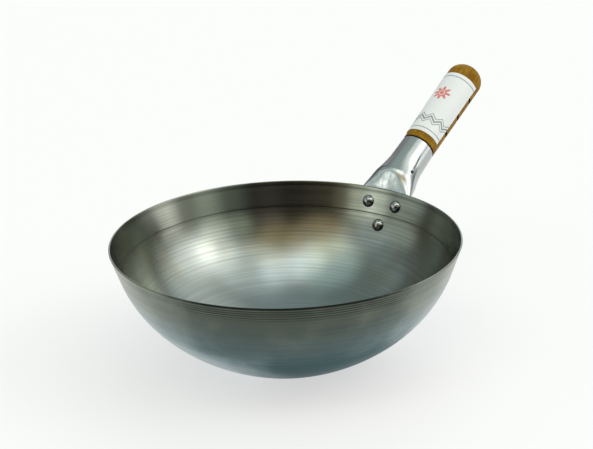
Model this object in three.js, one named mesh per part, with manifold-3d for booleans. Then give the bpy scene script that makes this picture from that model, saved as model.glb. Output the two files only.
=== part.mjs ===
// A spun carbon-steel wok with a riveted tube socket and a turned wooden grip.
// Millimetres, +Z up. The origin is the centre of the flat foot, and the handle points along +X.

import * as THREE from "three";
import { mergeVertices } from "three/addons/utils/BufferGeometryUtils.js";
import Module from "manifold-3d";

const degrees = THREE.MathUtils.degToRad;

// Bowl: one disc of sheet, spun
const RIM_RADIUS = 152.5;
const BOWL_DEPTH = 109.5;
const BOWL_SHEET = 1.5;
const BAND_HEIGHT = 23; // straight cone under the rim
const BAND_SLOPE = degrees(71); // of that cone, from level
const WALL_FULLNESS = 0.347; // pull of the wall curve at each end, as a share of its chord
const FOOT_RADIUS = 43.5; // flat that the wok stands on
const KNUCKLE_RADIUS = 20; // turn from the foot into the wall
const KNUCKLE_SLOPE = degrees(20); // slope of the wall where the turn ends

// Rivets: dome heads inside the bowl, tails closed over the socket's tongue
const RIVET_UPPER_DROP = 13.2; // below the rim, on the outside wall
const RIVET_LOWER_DROP = 32.4;
const RIVET_SPREAD = 30.6; // between the two upper rivets
const RIVET_HEAD_RADIUS = 5.8;
const RIVET_HEAD_HEIGHT = 4.3;
const RIVET_SHANK_RADIUS = 3;
const RIVET_TAIL_RADIUS = 4.4;
const RIVET_TAIL_HEIGHT = 1.6;

// Socket: a tube pressed flat below into a tongue on the bowl's wall
const SOCKET_RADIUS = 16.4; // outside, at the mouth
const SOCKET_BASE_RADIUS = 18.2; // of the same cone at its bend, before it is pressed
const SOCKET_SHEET = 1.2;
const SOCKET_STRAIGHT = 58; // from the bend to the mouth
const SOCKET_SPREAD = 45; // length over which the tube's sides go out to the flat's width
const PRESS_START = 4; // from the bend; the two layers of the tube lie flat up to here
const PRESS_END = 26; // from the bend; the tube has its whole height from here on
const HANDLE_RISE = degrees(29.8); // of the tube, above level
const BEND_RADIUS = 11; // between the tongue and the tube
const TONGUE_EDGE = 11; // from the lower rivet to the tip

// Grip: turned wood, one piece with its tang
const GRIP_LENGTH = 109; // from the shoulder to the end
const GRIP_NECK_RADIUS = 16.3;
const GRIP_END_RADIUS = 17.6;
const GRIP_DOME = 14.5; // length of the rounded end
const SHOULDER_BEVEL = 0.8;
const TANG_LENGTH = 42;
const RING_COUNT = 3;
const RING_WIDTH = 3.4;
const RING_DEPTH = 1.2;
const RING_FIRST = 27; // from the shoulder to the first ring
const RING_LAST = 20.5; // from the last ring to the rounded end

// Nail through the socket into the tang
const NAIL_INSET = 35.5; // from the mouth
const NAIL_ANGLE = degrees(61.5); // round the tube, from its top
const NAIL_LENGTH = 11;
const NAIL_RADIUS = 0.9;
const NAIL_HEAD_RADIUS = 1.6;
const NAIL_HEAD_HEIGHT = 0.8;

// Label: a paper sleeve over the top of the grip
const LABEL_START = 9; // from the shoulder
const LABEL_MARGIN = 7.5; // to the rounded end
const LABEL_SPAN = degrees(182);
const LABEL_SHEET = 0.25;

// Clearances
const SEAT_GAP = 0.3; // between faces that lie on each other
const HOLE_GAP = 0.3; // round a shank in its hole

// Facets
const BOWL_SEGMENTS = 80;
const WALL_STEPS = [3, 13, 1]; // along the knuckle, the wall and the band
const TUBE_SEGMENTS = 40;
const TONGUE_STEPS = 7; // round the tongue's tip
const BEND_STEPS = 3;
const SPREAD_STEPS = 16;
const GRIP_SEGMENTS = 40;
const LABEL_SEGMENTS = 14;
const RIVET_SEGMENTS = 20;
const NAIL_SEGMENTS = 10;
const DOME_STEPS = 6;
const WELD_DISTANCE = 1e-4;
const WALL_HALVINGS = 40; // of the search for a height on the wall

const UP = new THREE.Vector3(0, 0, 1);
const wasm = await Module();
wasm.setup();

// Merges shared corners and drops the slivers that a revolve leaves at its poles.
function weld(geometry) {
  const bare = new THREE.BufferGeometry();
  bare.setAttribute("position", geometry.getAttribute("position"));
  bare.setIndex(geometry.getIndex());
  const merged = mergeVertices(bare, WELD_DISTANCE);
  const corners = merged.getIndex().array;
  const kept = [];
  for (let i = 0; i < corners.length; i += 3) {
    const [a, b, c] = corners.slice(i, i + 3);
    if (a !== b && b !== c && c !== a) kept.push(a, b, c);
  }
  merged.setIndex(kept);
  return merged;
}

function solidOf(geometry) {
  return new wasm.Manifold(new wasm.Mesh({
    numProp: 3,
    vertProperties: new Float32Array(geometry.getAttribute("position").array),
    triVerts: new Uint32Array(geometry.getIndex().array),
  }));
}

function geometryOf(solid) {
  const mesh = solid.getMesh();
  const geometry = new THREE.BufferGeometry();
  geometry.setAttribute("position", new THREE.BufferAttribute(mesh.vertProperties, 3));
  geometry.setIndex(new THREE.BufferAttribute(mesh.triVerts, 1));
  return geometry;
}

// Cuts a round hole along the Z axis of each frame, as long as given to both sides of its origin.
function drill(geometry, radius, reach, frames) {
  let solid = solidOf(geometry);
  for (const frame of frames) {
    const pin = new THREE.CylinderGeometry(radius, radius, 2 * reach, RIVET_SEGMENTS);
    pin.rotateX(Math.PI / 2).applyMatrix4(frame);
    solid = solid.subtract(solidOf(weld(pin)));
  }
  return geometryOf(solid);
}

// Turns an outline of (radius, height) pairs about Z. It runs up the outside and ends on the axis.
function revolve(outline, segments) {
  const lathe = new THREE.LatheGeometry(outline.map(([r, z]) => new THREE.Vector2(r, z)), segments);
  return weld(lathe.rotateX(Math.PI / 2));
}

// Skins a chain of closed rings and closes both ends with a fan.
function loft(rings) {
  const count = rings[0].length;
  const middle = (ring) => ring.reduce((sum, p) => sum.add(p), new THREE.Vector3()).divideScalar(count);
  const points = [...rings.flat(), middle(rings[0]), middle(rings.at(-1))];
  const last = (rings.length - 1) * count;
  const corners = [];
  for (let j = 0; j < count; j += 1) {
    const k = (j + 1) % count;
    for (let base = 0; base < last; base += count) {
      corners.push(base + j, base + k, base + count + j);
      corners.push(base + k, base + count + k, base + count + j);
    }
    corners.push(points.length - 2, k, j);
    corners.push(points.length - 1, last + j, last + k);
  }
  const geometry = new THREE.BufferGeometry().setFromPoints(points);
  geometry.setIndex(corners);
  return geometry;
}

// A spherical cap as (radius, height) pairs, from its edge at the given height up to the axis.
function dome(radius, height, base) {
  const ball = (radius ** 2 + height ** 2) / (2 * height);
  const spread = Math.asin(Math.min(1, radius / ball));
  const outline = [];
  for (let i = 0; i <= DOME_STEPS; i += 1) {
    const angle = spread * (1 - i / DOME_STEPS);
    outline.push([ball * Math.sin(angle), base + height - ball * (1 - Math.cos(angle))]);
  }
  return outline;
}

// Outside of the bowl as a path of (radius, height): knuckle, curved wall, straight band
function bowlWall() {
  const path = new THREE.Path();
  const quarter = Math.PI / 2;
  path.absarc(FOOT_RADIUS, KNUCKLE_RADIUS, KNUCKLE_RADIUS, -quarter, KNUCKLE_SLOPE - quarter);
  const low = path.getPoint(1);
  const high = new THREE.Vector2(
    RIM_RADIUS - BAND_HEIGHT / Math.tan(BAND_SLOPE),
    BOWL_DEPTH - BAND_HEIGHT,
  );
  const pull = WALL_FULLNESS * low.distanceTo(high);
  path.bezierCurveTo(
    low.x + pull * Math.cos(KNUCKLE_SLOPE), low.y + pull * Math.sin(KNUCKLE_SLOPE),
    high.x - pull * Math.cos(BAND_SLOPE), high.y - pull * Math.sin(BAND_SLOPE),
    high.x, high.y,
  );
  path.lineTo(RIM_RADIUS, BOWL_DEPTH);
  return path;
}

const wall = bowlWall();
const wallLength = wall.getLength();

// Share of the wall's length at a drop below the rim
function wallShare(drop) {
  let [low, high] = [0, 1];
  for (let i = 0; i < WALL_HALVINGS; i += 1) {
    const middle = (low + high) / 2;
    if (wall.getPoint(middle).y < BOWL_DEPTH - drop) low = middle;
    else high = middle;
  }
  return low;
}

// Point of the wall and its slope above level, at a share of its length
function wallAt(share) {
  const point = wall.getPoint(share);
  const tangent = wall.getTangent(share);
  return { r: point.x, z: point.y, slope: Math.atan2(tangent.y, tangent.x) };
}

// Bowl outline: the wall outside, the same wall set in by the sheet inside, and a level rim
function bowlOutline() {
  const outside = [];
  const inside = [];
  wall.curves.forEach((curve, c) => {
    for (let i = c === 0 ? 0 : 1; i <= WALL_STEPS[c]; i += 1) {
      const point = curve.getPoint(i / WALL_STEPS[c]);
      const tangent = curve.getTangent(i / WALL_STEPS[c]);
      outside.push([point.x, point.y]);
      inside.unshift([point.x - BOWL_SHEET * tangent.y, point.y + BOWL_SHEET * tangent.x]);
    }
  });
  inside[0] = [RIM_RADIUS - BOWL_SHEET / Math.sin(BAND_SLOPE), BOWL_DEPTH];
  return [[0, 0], ...outside, ...inside, [0, BOWL_SHEET]];
}

// Frame with its origin at a point and its Z along a direction
function frameAt(origin, direction) {
  const turn = new THREE.Quaternion().setFromUnitVectors(UP, direction);
  return new THREE.Matrix4().compose(origin, turn, new THREE.Vector3(1, 1, 1));
}

// Frame of a rivet: origin on the outside wall, Z square to it and into the bowl
function rivetFrame(drop, across) {
  const { r, z, slope } = wallAt(wallShare(drop));
  const inward = new THREE.Vector3(-Math.sin(slope), 0, Math.cos(slope));
  const aside = new THREE.Matrix4().makeRotationZ(Math.asin(across / r));
  return frameAt(new THREE.Vector3(r, 0, z), inward).premultiply(aside);
}

// Rivet outline: the head's flat face meets the hollow wall at its edge, so it is lifted by the hollow
function rivetOutline() {
  const hollow = RIVET_HEAD_RADIUS ** 2 / RIM_RADIUS;
  const headBase = BOWL_SHEET + SEAT_GAP + hollow;
  const tailBase = -2 * (SEAT_GAP + SOCKET_SHEET);
  const tail = dome(RIVET_TAIL_RADIUS, RIVET_TAIL_HEIGHT, 0).map(([r, z]) => [r, tailBase - z]);
  return [
    ...tail.reverse(),
    [RIVET_SHANK_RADIUS, tailBase],
    [RIVET_SHANK_RADIUS, headBase],
    ...dome(RIVET_HEAD_RADIUS, RIVET_HEAD_HEIGHT, headBase),
  ];
}

// Spine of the socket by distance from the start of its bend: along the wall below zero, round the
// bend, then straight up the handle. The bend starts where the upper rivets' tails end.
const spineOffset = SEAT_GAP + SOCKET_SHEET;
const bendShare = wallShare(RIVET_UPPER_DROP) + RIVET_TAIL_RADIUS / wallLength;
const bendSlope = wallAt(bendShare).slope;
const bendLength = BEND_RADIUS * (bendSlope - HANDLE_RISE);
const mouth = bendLength + SOCKET_STRAIGHT;
const tongueTip = (wallShare(RIVET_LOWER_DROP) - bendShare) * wallLength - TONGUE_EDGE;

function spine(distance) {
  const { r, z, slope: along } = wallAt(bendShare + Math.min(distance, 0) / wallLength);
  const slope = distance <= 0 ? along : bendSlope - Math.min(distance, bendLength) / BEND_RADIUS;
  const straight = Math.max(0, distance - bendLength);
  return {
    x: r + spineOffset * Math.sin(along) + BEND_RADIUS * (Math.sin(along) - Math.sin(slope))
      + straight * Math.cos(slope),
    z: z - spineOffset * Math.cos(along) + BEND_RADIUS * (Math.cos(slope) - Math.cos(along))
      + straight * Math.sin(slope),
    slope,
  };
}

// Radius of the socket's cone, before it is pressed
const wholeRadius = (distance) => THREE.MathUtils.mapLinear(
  Math.max(0, distance), 0, mouth, SOCKET_BASE_RADIUS, SOCKET_RADIUS,
);

// How round it is: 0 where its two layers lie flat, 1 where it has its whole height
const roundness = (distance) => THREE.MathUtils.smoothstep(distance, PRESS_START, PRESS_END);
const halfHeight = (distance) => THREE.MathUtils.lerp(
  SOCKET_SHEET, wholeRadius(distance), roundness(distance),
);

// How far its sides are spread: 1 where its girth is laid flat, 0 where its half width is the radius
const spreading = (distance) => 1 - THREE.MathUtils.smoothstep(distance, 0, SOCKET_SPREAD);
function halfWidth(distance) {
  const radius = wholeRadius(distance);
  return radius + spreading(distance) * (Math.PI / 2 - 1) * (radius - SOCKET_SHEET);
}

// Point at a share of the girth of two half rounds joined by flats, from one side over the top
function girthPoint(share, flat, radius) {
  const quarter = (Math.PI / 2) * radius;
  const side = share < 0.5 ? 1 : -1;
  const run = (share % 0.5) * (4 * quarter + 4 * flat);
  if (run < quarter) {
    return [side * (flat + radius * Math.cos(run / radius)), side * radius * Math.sin(run / radius)];
  }
  if (run < quarter + 2 * flat) return [side * (flat - (run - quarter)), side * radius];
  const angle = (run - 2 * flat) / radius;
  return [side * (-flat + radius * Math.cos(angle)), side * radius * Math.sin(angle)];
}

// Point of the socket's section, set in by a depth: flats with round edges near the bowl, an oval above
function sectionPoint(share, distance, depth) {
  const [width, height] = [halfWidth(distance) - depth, halfHeight(distance) - depth];
  const angle = 2 * Math.PI * share;
  const oval = [width * Math.cos(angle), height * Math.sin(angle)];
  const pressed = girthPoint(share, width - height, height);
  return pressed.map((value, i) => THREE.MathUtils.lerp(value, oval[i], roundness(distance)));
}

// Ring of the socket at a distance, set in from the outside by a depth and narrowed by a share.
// On the bowl the ring is wrapped round the bowl's axis, and on the round tube it is square to it.
function socketRing(distance, depth, narrowing = 1) {
  const { x, z, slope } = spine(distance);
  const wrap = spreading(distance);
  const ring = [];
  for (let j = 0; j < TUBE_SEGMENTS; j += 1) {
    const [side, up] = sectionPoint(j / TUBE_SEGMENTS, distance, depth);
    const radius = x - up * Math.sin(slope);
    const across = narrowing * side;
    const bend = (wrap * across) / radius;
    const width = wrap > 0 ? (radius / wrap) * Math.sin(bend) : across;
    const fall = wrap > 0 ? (radius / wrap) * (1 - Math.cos(bend)) : 0;
    ring.push(new THREE.Vector3(radius - fall, width, z + up * Math.cos(slope)));
  }
  return ring;
}

function socketGeometry() {
  const rings = [];
  const upperRivets = -RIVET_TAIL_RADIUS;
  for (let i = 1; i <= TONGUE_STEPS; i += 1) {
    const angle = (Math.PI / 2) * (i / TONGUE_STEPS);
    const distance = upperRivets + (tongueTip - upperRivets) * Math.cos(angle);
    rings.push(socketRing(distance, 0, Math.sin(angle)));
  }
  const stations = [0];
  for (let i = 1; i <= BEND_STEPS; i += 1) stations.push((bendLength * i) / BEND_STEPS);
  for (let i = 1; i <= SPREAD_STEPS; i += 1) {
    stations.push(THREE.MathUtils.lerp(bendLength, SOCKET_SPREAD, i / SPREAD_STEPS));
  }
  stations.push(mouth);
  rings.push(...stations.map((distance) => socketRing(distance, 0)));
  const hollow = stations.filter((distance) => halfHeight(distance) > 2 * SOCKET_SHEET).reverse();
  rings.push(...hollow.map((distance) => socketRing(distance, SOCKET_SHEET)));
  return loft(rings);
}

// Radius of the grip at a height above its shoulder
const gripBody = GRIP_LENGTH - GRIP_DOME;
const gripRadius = (height) => THREE.MathUtils.lerp(GRIP_NECK_RADIUS, GRIP_END_RADIUS, height / gripBody);

// Grip outline about the tube's axis, with the socket's mouth at height zero
function gripOutline() {
  const tangRadius = SOCKET_RADIUS - SOCKET_SHEET - HOLE_GAP;
  const outline = [
    [0, -TANG_LENGTH],
    [tangRadius, -TANG_LENGTH],
    [tangRadius, SEAT_GAP],
    [GRIP_NECK_RADIUS - SHOULDER_BEVEL, SEAT_GAP],
    [gripRadius(SHOULDER_BEVEL), SEAT_GAP + SHOULDER_BEVEL],
  ];
  const pitch = (gripBody - RING_FIRST - RING_LAST) / (RING_COUNT - 1);
  for (let i = 0; i < RING_COUNT; i += 1) {
    const height = RING_FIRST + i * pitch;
    outline.push([gripRadius(height - RING_WIDTH / 2), SEAT_GAP + height - RING_WIDTH / 2]);
    outline.push([gripRadius(height) - RING_DEPTH, SEAT_GAP + height]);
    outline.push([gripRadius(height + RING_WIDTH / 2), SEAT_GAP + height + RING_WIDTH / 2]);
  }
  for (let i = 0; i <= DOME_STEPS; i += 1) {
    const angle = (Math.PI / 2) * (i / DOME_STEPS);
    const height = gripBody + GRIP_DOME * Math.sin(angle);
    outline.push([GRIP_END_RADIUS * Math.cos(angle), SEAT_GAP + height]);
  }
  return outline;
}

// Frame of the nail in the handle: origin on the tube, Z out of the tube
function nailFrame() {
  const outward = new THREE.Vector3(-Math.cos(NAIL_ANGLE), -Math.sin(NAIL_ANGLE), 0);
  const [side, up] = sectionPoint(0.25 + NAIL_ANGLE / (2 * Math.PI), mouth - NAIL_INSET, 0);
  return frameAt(new THREE.Vector3(-up, side, -NAIL_INSET), outward);
}

function nailOutline() {
  return [
    [0, -NAIL_LENGTH],
    [NAIL_RADIUS, 2 * NAIL_RADIUS - NAIL_LENGTH],
    [NAIL_RADIUS, SEAT_GAP],
    ...dome(NAIL_HEAD_RADIUS, NAIL_HEAD_HEIGHT, SEAT_GAP),
  ];
}

// Label: a strip of a cone that follows the grip's taper, centred on the top of the handle
function labelGeometry() {
  const inner = gripRadius(LABEL_START) + SEAT_GAP;
  const [from, to] = [Math.PI - LABEL_SPAN / 2, Math.PI + LABEL_SPAN / 2];
  const strip = new THREE.Shape();
  strip.absarc(0, 0, inner + LABEL_SHEET, from, to, false);
  strip.absarc(0, 0, inner, to, from, true);
  const sleeve = new THREE.ExtrudeGeometry(strip, {
    depth: gripBody - LABEL_START - LABEL_MARGIN,
    curveSegments: LABEL_SEGMENTS,
    bevelEnabled: false,
  });
  const position = sleeve.getAttribute("position");
  for (let i = 0; i < position.count; i += 1) {
    const point = new THREE.Vector3().fromBufferAttribute(position, i);
    const radius = Math.hypot(point.x, point.y);
    const swell = gripRadius(LABEL_START + point.z) - gripRadius(LABEL_START);
    const grown = (radius + swell) / radius;
    position.setXYZ(i, point.x * grown, point.y * grown, point.z + LABEL_START + SEAT_GAP);
  }
  return sleeve;
}

function piece(name, geometry, colour, roughness, metalness) {
  const material = new THREE.MeshStandardMaterial({ color: colour, roughness, metalness });
  const mesh = new THREE.Mesh(geometry, material);
  mesh.name = name;
  return mesh;
}

// Handle group: origin at the centre of the socket's mouth, Z along the tube, -X up
const handle = new THREE.Group();
const mouthCentre = spine(mouth);
handle.position.set(mouthCentre.x, 0, mouthCentre.z);
handle.rotation.y = Math.PI / 2 - HANDLE_RISE;
handle.updateMatrix();

const rivets = [
  { name: "rivet_upper_left", frame: rivetFrame(RIVET_UPPER_DROP, RIVET_SPREAD / 2) },
  { name: "rivet_upper_right", frame: rivetFrame(RIVET_UPPER_DROP, -RIVET_SPREAD / 2) },
  { name: "rivet_lower", frame: rivetFrame(RIVET_LOWER_DROP, 0) },
];
const rivetFrames = rivets.map(({ frame }) => frame);
const rivetHole = RIVET_SHANK_RADIUS + HOLE_GAP;
const rivetReach = 2 * (BOWL_SHEET + SEAT_GAP + 2 * SOCKET_SHEET); // twice the sheets that it holds
const nail = nailFrame();
const nailHole = NAIL_RADIUS + HOLE_GAP;
const nailReach = NAIL_LENGTH + HOLE_GAP;

const wok = new THREE.Group();

const bowl = drill(revolve(bowlOutline(), BOWL_SEGMENTS), rivetHole, rivetReach, rivetFrames);
wok.add(piece("bowl", bowl, 0x6d7a76, 0.38, 1));

const riveted = drill(socketGeometry(), rivetHole, rivetReach, rivetFrames);
const socketNail = nail.clone().premultiply(handle.matrix);
const socket = drill(riveted, nailHole, nailReach, [socketNail]);
wok.add(piece("handle_socket", socket, 0xb4bfbd, 0.22, 1));

for (const { name, frame } of rivets) {
  const rivet = piece(name, revolve(rivetOutline(), RIVET_SEGMENTS), 0x8d9490, 0.3, 1);
  rivet.applyMatrix4(frame);
  wok.add(rivet);
}

const grip = drill(revolve(gripOutline(), GRIP_SEGMENTS), nailHole, nailReach, [nail]);
handle.add(piece("wooden_grip", grip, 0x8a6a2c, 0.55, 0));

const pin = piece("grip_nail", revolve(nailOutline(), NAIL_SEGMENTS), 0x3c3f3d, 0.5, 1);
pin.applyMatrix4(nail);
handle.add(pin);

handle.add(piece("paper_label", labelGeometry(), 0xeff5f3, 0.6, 0));
wok.add(handle);

export default wok;
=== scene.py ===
"""Looks of a spun carbon-steel wok with a riveted socket and a wooden grip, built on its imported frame."""

import logging
import math
from collections.abc import Sequence
from dataclasses import dataclass, field
from enum import Enum

import bmesh
import bpy
from bpy.types import Material, Node, NodeSocket, NodeTree, Object
from mathutils import Matrix, Vector, noise
from mathutils.geometry import interpolate_bezier


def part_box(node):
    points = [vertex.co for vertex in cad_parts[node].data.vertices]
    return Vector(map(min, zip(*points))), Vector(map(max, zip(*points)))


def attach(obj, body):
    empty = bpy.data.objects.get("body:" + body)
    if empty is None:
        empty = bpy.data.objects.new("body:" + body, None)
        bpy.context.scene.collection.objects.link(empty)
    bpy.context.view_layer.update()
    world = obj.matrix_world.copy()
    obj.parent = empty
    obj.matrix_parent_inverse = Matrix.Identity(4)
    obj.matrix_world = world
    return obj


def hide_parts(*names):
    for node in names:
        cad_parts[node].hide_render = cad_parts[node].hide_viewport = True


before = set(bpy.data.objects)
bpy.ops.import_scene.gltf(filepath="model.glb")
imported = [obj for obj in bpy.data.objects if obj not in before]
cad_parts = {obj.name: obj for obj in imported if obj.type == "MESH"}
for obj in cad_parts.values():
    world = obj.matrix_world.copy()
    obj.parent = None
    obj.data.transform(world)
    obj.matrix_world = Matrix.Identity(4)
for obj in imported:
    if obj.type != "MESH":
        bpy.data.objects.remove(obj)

MM = 0.001
BODY = "root"
WELD = 1e-6
SHARP = math.radians(40)
QUARTER_TURN = 0.25
NOISE_LOW, NOISE_HIGH = 0.3, 0.7
Colour = tuple[float, float, float, float]
WHITE: Colour = (1.0, 1.0, 1.0, 1.0)

log = logging.getLogger("wok")


def linear(hex_colour: str) -> Colour:
    """Turns an sRGB hex colour into linear RGBA.

    Args:
        hex_colour: Six hex digits after a hash sign.

    Returns:
        Linear red, green and blue, and an alpha of one.
    """
    channels = [int(hex_colour[i:i + 2], 16) / 255 for i in (1, 3, 5)]
    red, green, blue = [c / 12.92 if c <= 0.04045 else ((c + 0.055) / 1.055) ** 2.4 for c in channels]
    return red, green, blue, 1.0


def mix(low: float, high: float, share: float) -> float:
    """Value at a share of the way from low to high."""
    return low + (high - low) * share


def smooth_step(value: float, low: float, high: float) -> float:
    """Share of the way from low to high, eased at both ends."""
    share = min(1.0, max(0.0, (value - low) / (high - low)))
    return share * share * (3 - 2 * share)


def eased_start(value: float, blend: float) -> float:
    """Zero below nought and the value itself above, with the corner eased over a blend to each side."""
    if value < blend:
        return max(0.0, value + blend) ** 2 / (4 * blend)
    return value


def fill_inputs(tree: NodeTree, node: Node, inputs: dict[str | int, object]) -> None:
    """Sets or links inputs of a node.

    Args:
        tree: Node tree that holds the node.
        node: The node.
        inputs: Value, or socket to link from, for each input by name or number.
    """
    for key, value in inputs.items():
        if isinstance(value, NodeSocket):
            tree.links.new(value, node.inputs[key])
        else:
            node.inputs[key].default_value = value


def add_node(
    tree: NodeTree,
    kind: str,
    inputs: dict[str | int, object] | None = None,
    stops: Sequence[tuple[float, Colour]] = (),
    **settings: object,
) -> Node:
    """Adds a node with its settings, values and links.

    Args:
        tree: Node tree that gets the node.
        kind: Blender's name of the node type, without its ShaderNode prefix.
        inputs: Value, or socket to link from, for each input by name or number.
        stops: Places and colours of a colour ramp, if the node has one.
        settings: Properties of the node itself.

    Returns:
        The new node.
    """
    made = tree.nodes.new("ShaderNode" + kind)
    for name, value in settings.items():
        setattr(made, name, value)
    fill_inputs(tree, made, inputs or {})
    for place, colour in stops:
        ramp = made.color_ramp.elements
        stop = ramp[0] if place == stops[0][0] else ramp[-1] if place == stops[-1][0] else ramp.new(place)
        stop.position = place
        stop.color = colour
    return made


class Face(Enum):
    """Side of the bowl's sheet."""

    INSIDE = 1
    OUTSIDE = -1


@dataclass(frozen=True)
class Finish:
    """What every finish shares: a name, and a shader that the finish paints."""

    name: str

    def material(self) -> Material:
        """Makes the material.

        Returns:
            A new material with this finish on its shader.
        """
        made = bpy.data.materials.new(self.name)
        made.use_nodes = True
        self.paint(made.node_tree, made.node_tree.nodes["Principled BSDF"])
        return made

    def paint(self, tree: NodeTree, shader: Node) -> None:
        """Sets the shader's values and links; each finish has its own."""
        raise NotImplementedError


@dataclass(frozen=True)
class SpunSteel(Finish):
    """Carbon steel sheet as spun, with painted shade on one side.

    The eye gets fine lines round the axis, a highlight pulled across them, dark grime in the tool marks, and
    painted shade that darkens one side and leans round the bowl lower down, standing in for a dark reflection
    there. The lines are drawn as coarse as they need to show.
    """

    upper: str = "#93968a"
    lower: str = "#8b9594"
    grime_and_shade: str = "#141716"
    shade_mm: tuple[float, float] = (25.0, 110.0)
    contrast: float = 0.8
    roughness: float = 0.21
    roughness_spread: float = 0.04
    anisotropy: float = 0.6
    wander_mm: float = 45.0
    # Painted shade: colours multiplied into the tone on the dark side, higher up and lower down.
    painted_shade: str = "#ffffff"
    painted_shade_low: str = "#ffffff"
    dark_side: Vector = field(default_factory=lambda: Vector((-0.766, -0.643, 0)))
    dark_lean: float = 0.6
    dark_range: tuple[float, float] = (0.45, 1.05)
    dark_wander: float = 0.2
    low_mm: tuple[float, float] = (50.0, 100.0)
    # Share of the grime and painted shade that is kept away from the dark side.
    share_away_from_side: float = 0.1
    kept_range: tuple[float, float] = (0.7, 0.95)
    edge: str = "#ffffff"
    line_mm: float = 1.1
    line_range: tuple[float, float] = (0.32, 0.64)
    arc_mm: float = 220.0
    arc_radius_mm: float = 150.0
    stain_mm: float = 30.0
    line_depth_mm: float = 0.0012

    def lines(self, tree: NodeTree, round_axis: NodeSocket, run: NodeSocket) -> NodeSocket:
        """Draws the fine lines, close down the wall and broken slowly round the axis.

        Args:
            tree: Node tree of the material.
            round_axis: Level way out from the axis, one long.
            run: Distance down the wall, in millimetres.

        Returns:
            The pattern's value.
        """
        turn = add_node(tree, "SeparateXYZ", {0: round_axis})
        arcs = self.arc_radius_mm / self.arc_mm
        east = add_node(tree, "Math", {0: turn.outputs[0], 1: arcs}, operation="MULTIPLY").outputs[0]
        north = add_node(tree, "Math", {0: turn.outputs[1], 1: arcs}, operation="MULTIPLY").outputs[0]
        down = add_node(tree, "Math", {0: run, 1: 1 / self.line_mm}, operation="MULTIPLY").outputs[0]
        swept = add_node(tree, "CombineXYZ", {0: east, 1: north, 2: down}).outputs[0]
        pattern = {"Vector": swept, "Scale": 1.0, "Detail": 3.0, "Roughness": 0.6}
        return add_node(tree, "TexNoise", pattern).outputs["Fac"]

    def toward(
        self, tree: NodeTree, round_axis: NodeSocket, low: NodeSocket, stains: NodeSocket,
    ) -> NodeSocket:
        """Measures how far a place faces the darkened side, leaning round the bowl lower down.

        Args:
            tree: Node tree of the material.
            round_axis: Level way out from the axis, one long.
            low: Share of the way down the wall.
            stains: Pattern that makes the edge of the darkened side uneven.

        Returns:
            About one in the middle of that side, and less away from it.
        """
        lean = self.dark_lean * Vector((0, 0, 1)).cross(self.dark_side)
        facing, aside = (
            add_node(tree, "VectorMath", {0: round_axis, 1: way}, operation="DOT_PRODUCT").outputs["Value"]
            for way in (self.dark_side, lean)
        )
        spread = {"Value": stains, 3: -self.dark_wander, 4: self.dark_wander}
        uneven = add_node(tree, "MapRange", spread).outputs[0]
        leaned = add_node(tree, "Math", {0: low, 1: aside, 2: facing}, operation="MULTIPLY_ADD").outputs[0]
        return add_node(tree, "Math", {0: leaned, 1: uneven}, operation="ADD").outputs[0]

    def paint(self, tree: NodeTree, shader: Node) -> None:
        """Shades the steel down the wall, then adds the painted shade on one side, the lines, and the grime
        with its painted shade.

        Args:
            tree: Node tree of the material.
            shader: Its shader.
        """
        place = add_node(tree, "TexCoord").outputs["Object"]
        flat = add_node(tree, "VectorMath", {0: place, 1: (1, 1, 0)}, operation="MULTIPLY").outputs[0]
        round_axis = add_node(tree, "VectorMath", {0: flat}, operation="NORMALIZE").outputs[0]
        hoop = add_node(
            tree, "VectorMath", {0: (0, 0, 1), 1: round_axis}, operation="CROSS_PRODUCT",
        ).outputs[0]
        run = add_node(tree, "Attribute", attribute_name="run_mm").outputs["Fac"]
        depth = add_node(tree, "Math", {0: run}, operation="ABSOLUTE").outputs[0]
        lines = self.lines(tree, round_axis, run)
        stains = add_node(
            tree, "TexNoise", {"Vector": place, "Scale": 1 / (self.stain_mm * MM), "Detail": 4.0},
        ).outputs["Fac"]
        wander = add_node(
            tree, "MapRange", {"Value": stains, 3: -self.wander_mm, 4: self.wander_mm},
        ).outputs[0]
        shaded = add_node(tree, "Math", {0: depth, 1: wander}, operation="ADD").outputs[0]
        share = add_node(
            tree, "MapRange", {"Value": shaded, 1: self.shade_mm[0], 2: self.shade_mm[1]},
            interpolation_type="SMOOTHSTEP",
        ).outputs[0]
        tone = add_node(
            tree, "Mix", {0: share, 6: linear(self.upper), 7: linear(self.lower)}, data_type="RGBA",
        ).outputs[2]
        low = add_node(
            tree, "MapRange", {"Value": depth, 1: self.low_mm[0], 2: self.low_mm[1]},
            interpolation_type="SMOOTHSTEP",
        ).outputs[0]
        toward = self.toward(tree, round_axis, low, stains)
        # Painted shade: the dark side's share, by which darker colours are multiplied in, leaning round the
        # bowl lower down.
        shade_share = add_node(
            tree, "MapRange", {"Value": toward, 1: self.dark_range[0], 2: self.dark_range[1]},
            interpolation_type="SMOOTHSTEP",
        ).outputs[0]
        darkening = add_node(
            tree, "Mix", {0: low, 6: linear(self.painted_shade), 7: linear(self.painted_shade_low)}, data_type="RGBA",
        ).outputs[2]
        tone = add_node(
            tree, "Mix", {0: shade_share, 6: tone, 7: darkening}, data_type="RGBA", blend_type="MULTIPLY",
        ).outputs[2]
        # Painted shade in the reflection too: on the dark side the specular tint dulls the grazing
        # reflection.
        edge = add_node(tree, "Mix", {0: shade_share, 6: WHITE, 7: linear(self.edge)}, data_type="RGBA").outputs[2]
        thin = (self.contrast, self.contrast, self.contrast, 1.0)
        drawn = add_node(
            tree, "ValToRGB", {"Fac": lines}, [(self.line_range[0], thin), (self.line_range[1], WHITE)],
        ).outputs["Color"]
        lined = add_node(
            tree, "Mix", {0: 1.0, 6: tone, 7: drawn}, data_type="RGBA", blend_type="MULTIPLY",
        ).outputs[2]
        grime_and_shade = add_node(tree, "Attribute", attribute_name="grime_and_shade").outputs["Fac"]
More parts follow.
